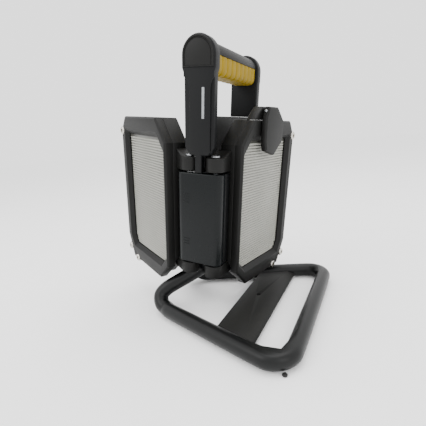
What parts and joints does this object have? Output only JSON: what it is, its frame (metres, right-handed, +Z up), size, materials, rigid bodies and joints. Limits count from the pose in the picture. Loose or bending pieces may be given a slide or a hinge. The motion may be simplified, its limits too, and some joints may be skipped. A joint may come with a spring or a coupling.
{
  "type": "folding work light",
  "caption": "Folding work light with two hinged flat lamp heads on a carrying frame with a ribbed grip, standing on a tilting bent-tube stand.",
  "frame": {"origin": "on the standing plane, below the front bottom centre of the spine", "axes": "+Z up from the standing plane, +Y from the spine's front towards the far post of the grip, +X towards the wide end of the stand"},
  "size_m": [0.293, 0.2459, 0.3173],
  "materials": {
    "black_plastic": "satin, fine texture",
    "grey_plastic": "fine moulded texture",
    "satin_cover": "satin",
    "yellow_grip": "matte, moulded ribs",
    "lens_plastic": "clear prismatic sheet",
    "tube_coat": "satin powder coat",
    "crossbar_plastic": "matte powder coat",
    "rubber": "matte",
    "nickel": "nickel plated",
    "steel": "plain zinc plated",
    "heat_sink": "cast",
    "led_board": "white solder mask",
    "driver_board": "green solder mask",
    "battery_wrap": "shrink wrap",
    "port_socket": "moulded"
  },
  "bodies": {
    "stand": {"crossbar": "crossbar_plastic", "far_knob": "black_plastic", "far_lug": "steel", "foot_far": "rubber", "foot_near": "rubber", "near_knob": "black_plastic", "near_lug": "steel", "pivot_bolt": "steel", "stand_tube": "tube_coat"},
    "frame": {"battery_pack": "battery_wrap", "charge_port": "port_socket", "core_left": "grey_plastic", "core_right": "grey_plastic", "driver_board": "driver_board", "far_cap": "grey_plastic", "far_post": "black_plastic", "grip_bar": "black_plastic", "grip_insert": "yellow_grip", "left_lower_pin": "steel", "left_upper_pin": "steel", "near_cap": "grey_plastic", "near_post": "black_plastic", "pivot_block": "black_plastic", "right_lower_pin": "steel", "right_upper_pin": "steel", "spine_cover": "satin_cover", "spine_housing": "black_plastic"},
    "left_head": {"left_bezel": "grey_plastic", "left_heat_sink": "heat_sink", "left_housing": "grey_plastic", "left_led_board": "led_board", "left_lens": "lens_plastic", "left_lower_ear": "black_plastic", "left_screw_1": "nickel", "left_screw_2": "nickel", "left_screw_3": "nickel", "left_upper_ear": "black_plastic"},
    "right_head": {"right_bezel": "grey_plastic", "right_heat_sink": "heat_sink", "right_housing": "grey_plastic", "right_led_board": "led_board", "right_lens": "lens_plastic", "right_lower_ear": "black_plastic", "right_screw_1": "nickel", "right_screw_2": "nickel", "right_screw_3": "nickel", "right_upper_ear": "black_plastic", "latch_housing": "grey_plastic", "latch_pin": "steel"},
    "latch": {"latch_plate": "grey_plastic"},
    "button": {"power_button": "rubber"},
    "port_flap": {"port_cover": "rubber"}
  },
  "joints": [
    {"name": "stand_tilt", "type": "hinge", "parent": "stand", "child": "frame", "pos_m": [-0.00134, 0.05, 0.06458], "axis": [0, 1, 0], "range_deg": [0, 10]},
    {"name": "left_head_swing", "type": "hinge", "parent": "frame", "child": "left_head", "pos_m": [-0.00979, 0.012, 0.12708], "axis": [0.1219, 0, 0.9925], "range_deg": [-7, 50]},
    {"name": "right_head_swing", "type": "hinge", "parent": "frame", "child": "right_head", "pos_m": [0.02197, 0.012, 0.12318], "axis": [0.1219, 0, 0.9925], "range_deg": [-44, 6]},
    {"name": "latch_flip", "type": "hinge", "parent": "right_head", "child": "latch", "pos_m": [0.07902, 0.08532, 0.24262], "axis": [-0.1894, -0.9816, 0.0233], "range_deg": [0, 75]},
    {"name": "button_press", "type": "slide", "parent": "frame", "child": "button", "axis": [0, -1, 0], "range_m": [0, 0.0013], "stiffness_N_per_m": 400},
    {"name": "port_flap_open", "type": "hinge", "parent": "frame", "child": "port_flap", "pos_m": [0.00609, 0.1393, 0.12513], "axis": [0.9925, 0, -0.1219], "range_deg": [0, 110]}
  ]
}
